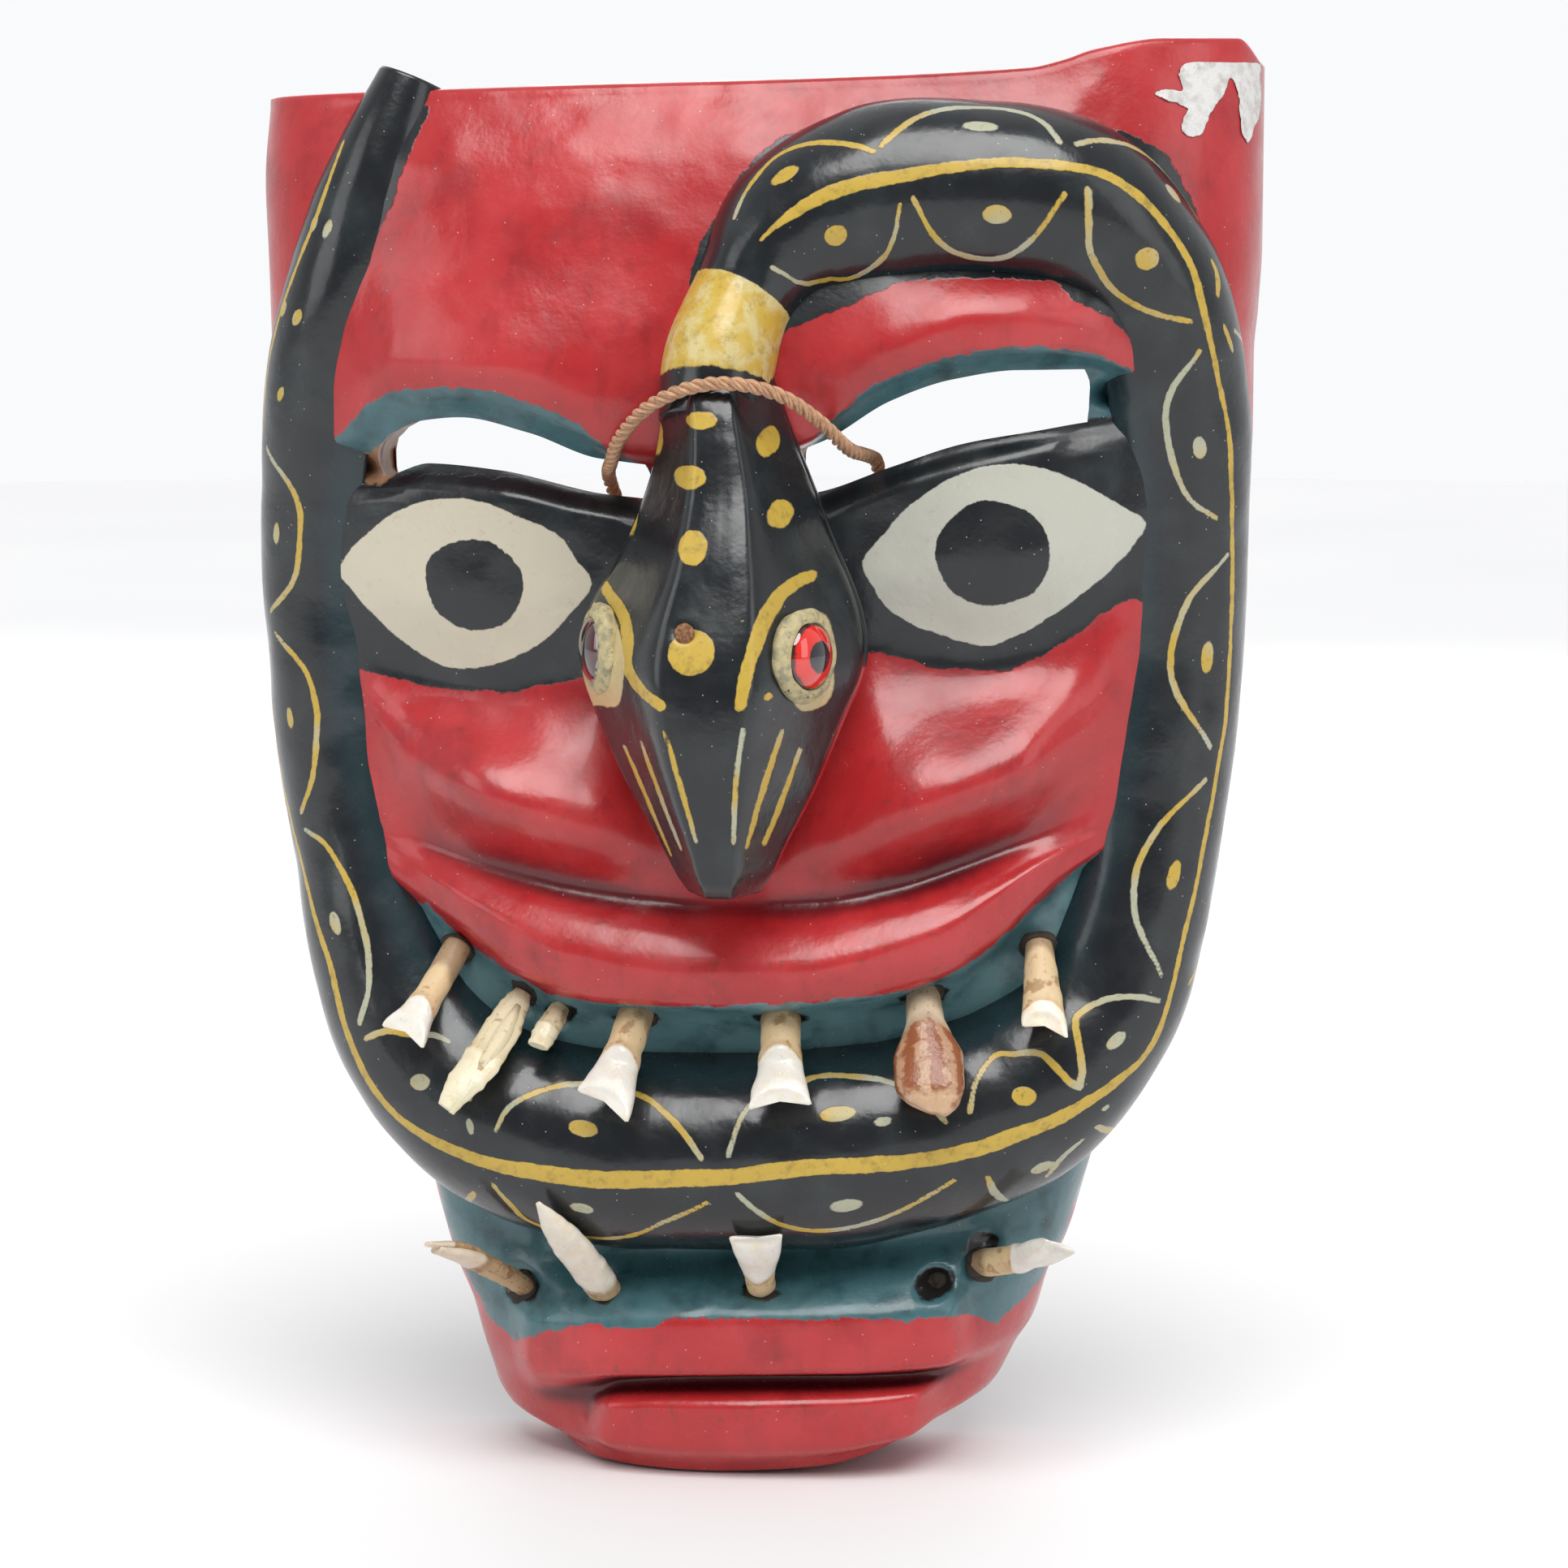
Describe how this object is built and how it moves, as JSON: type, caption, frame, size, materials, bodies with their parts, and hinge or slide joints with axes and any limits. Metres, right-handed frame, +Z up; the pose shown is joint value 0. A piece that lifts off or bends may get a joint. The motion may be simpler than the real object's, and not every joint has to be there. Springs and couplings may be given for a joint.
{
  "type": "folk art mask",
  "caption": "Hollow carved and painted wooden face mask with a snake in relief, a separate snake's-head nose, glass eyes, set teeth and a hanging cord.",
  "frame": {"origin": "on the floor, in the plane of the back rim, in the middle of the mask's width", "axes": "+Z up, the face looks along -Y, +X is to the viewer's right"},
  "size_m": [0.286, 0.126, 0.402],
  "materials": {
    "painted_wood": "hand-brushed satin gloss paint in red, black and teal over carved wood",
    "nail": "rusty",
    "eye_glass": "clear, polished",
    "left_iris_paint": "dark red-black backing",
    "right_iris_paint": "red ring round a black pupil",
    "putty": "aged cream putty",
    "resin": "dark, rough",
    "tooth": "enamel crown on a matt root",
    "paper": "torn, matt",
    "cord": "twisted waxed cotton"
  },
  "bodies": {
    "root": {"cord_knot": "cord", "hanging_cord": "cord", "left_eye_putty": "putty", "left_glass_eye": "eye_glass", "left_iris": "left_iris_paint", "lower_tooth_1": "tooth", "lower_tooth_2": "tooth", "lower_tooth_3": "tooth", "lower_tooth_5": "tooth", "lower_tooth_resin": "resin", "mask_shell": "painted_wood", "paper_label": "paper", "right_eye_putty": "putty", "right_glass_eye": "eye_glass", "right_iris": "right_iris_paint", "snake_head": "painted_wood", "snake_head_nail": "nail", "upper_tooth_1": "tooth", "upper_tooth_2": "tooth", "upper_tooth_2_stub": "tooth", "upper_tooth_3": "tooth", "upper_tooth_4": "tooth", "upper_tooth_5": "tooth", "upper_tooth_6": "tooth", "upper_tooth_resin": "resin"}
  },
  "joints": []
}
